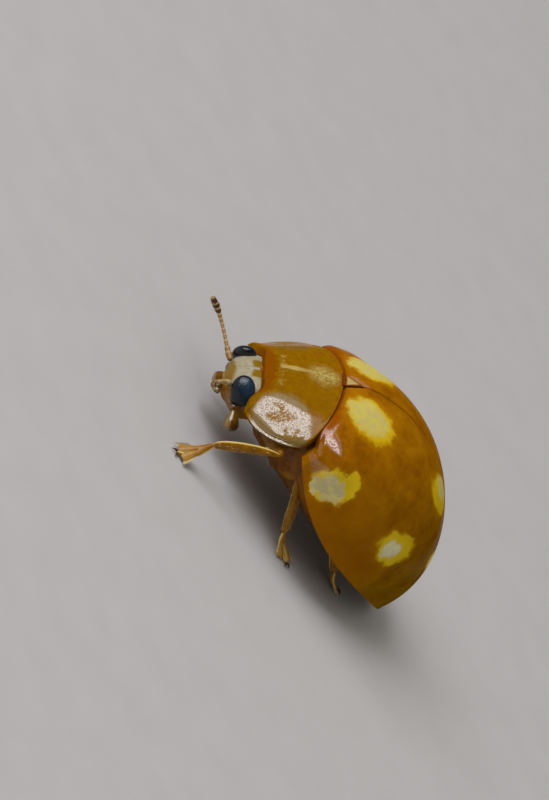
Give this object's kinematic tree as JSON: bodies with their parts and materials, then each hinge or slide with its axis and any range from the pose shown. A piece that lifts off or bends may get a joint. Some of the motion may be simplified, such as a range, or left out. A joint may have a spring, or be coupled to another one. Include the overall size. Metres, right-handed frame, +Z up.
{
  "type": "ladybird beetle",
  "caption": "Life-size still ladybird beetle with pale spots on amber wing cases, standing with its feelers out.",
  "frame": {"origin": "on the floor, under the middle of the beetle and on the line under its plane of symmetry", "axes": "+Z up, -Y towards the head, +X towards the beetle's left side"},
  "size_m": [0.005, 0.0068, 0.0031],
  "materials": {
    "wing_case": "glossy, translucent amber with cream spots rimmed in yellow",
    "neck_shield": "glossy ochre with a pale middle and paler marks",
    "scutellum": "glossy cream with a red-brown rim",
    "head": "satin cream with ochre patches",
    "eye": "black with a navy sheen, finely faceted",
    "underside": "satin amber-brown",
    "limb": "translucent amber"
  },
  "bodies": {
    "root": {"abdomen": "underside", "eye_left": "eye", "eye_right": "eye", "feeler_left": "limb", "feeler_right": "limb", "front_left_femur": "limb", "front_left_foot": "limb", "front_left_tibia": "limb", "front_right_femur": "limb", "front_right_foot": "limb", "front_right_tibia": "limb", "head": "head", "hind_left_femur": "limb", "hind_left_foot": "limb", "hind_left_tibia": "limb", "hind_right_femur": "limb", "hind_right_foot": "limb", "hind_right_tibia": "limb", "labrum": "limb", "middle_left_femur": "limb", "middle_left_foot": "limb", "middle_left_tibia": "limb", "middle_right_femur": "limb", "middle_right_foot": "limb", "middle_right_tibia": "limb", "neck_shield": "neck_shield", "palp_left": "limb", "palp_right": "limb", "scutellum": "scutellum", "thorax": "underside", "wing_case_left": "wing_case", "wing_case_right": "wing_case"}
  },
  "joints": []
}
